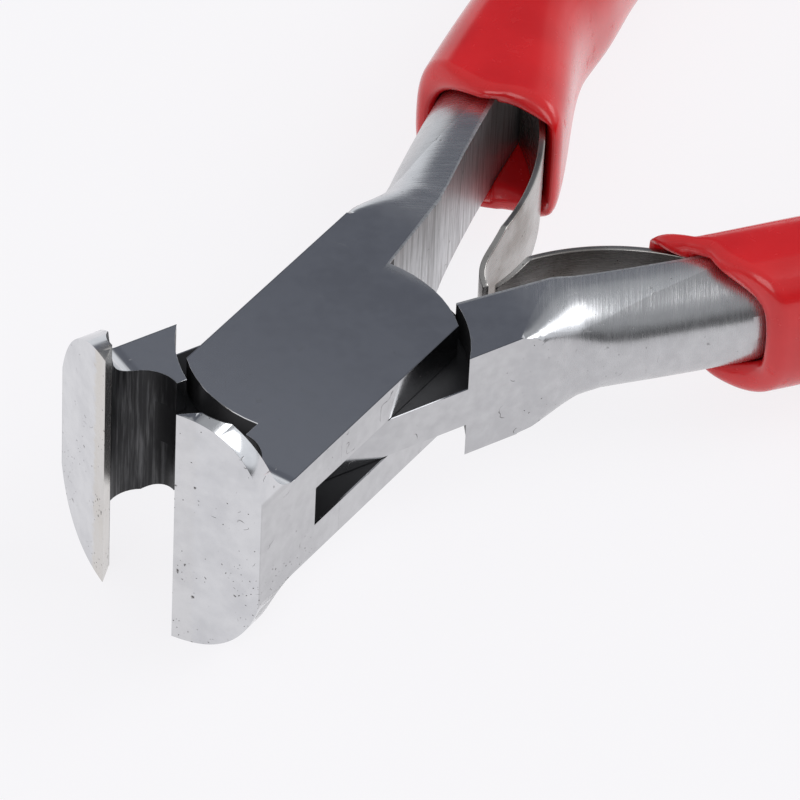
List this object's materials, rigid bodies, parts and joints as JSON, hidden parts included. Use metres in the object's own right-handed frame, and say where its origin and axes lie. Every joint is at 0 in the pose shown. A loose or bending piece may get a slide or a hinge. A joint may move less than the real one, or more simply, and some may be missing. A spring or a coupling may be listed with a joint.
{
  "type": "end cutting nippers",
  "caption": "Compact box-joint end cutting nippers with wide jaws, opposed leaf springs and soft dipped grips.",
  "frame": {"origin": "on the pivot axis, in the upper ground flat of the joint", "axes": "+Z out of the upper flat along the pivot axis, +Y along the tool towards the handles, +X completes a right-handed set"},
  "size_m": [0.0648, 0.1155, 0.0162],
  "materials": {
    "polished_steel": "ground and polished tool steel",
    "spring_steel": "tempered strip, satin",
    "red_pvc": "glossy dipped soft plastic"
  },
  "bodies": {
    "outer": {"outer_half": "polished_steel", "pivot_rivet": "polished_steel", "outer_leaf_spring": "spring_steel", "outer_spring_rivet": "polished_steel", "outer_grip": "red_pvc"},
    "inner": {"inner_half": "polished_steel", "inner_leaf_spring": "spring_steel", "inner_spring_rivet": "polished_steel", "inner_grip": "red_pvc"}
  },
  "joints": [
    {"name": "jaw_hinge", "type": "hinge", "parent": "outer", "child": "inner", "pos_m": [0, 0, 0], "axis": [0, 0, 1], "range_deg": [-6, 23.4], "stiffness_Nm_per_rad": 1.2, "deforming": ["outer_leaf_spring", "inner_leaf_spring"]}
  ]
}
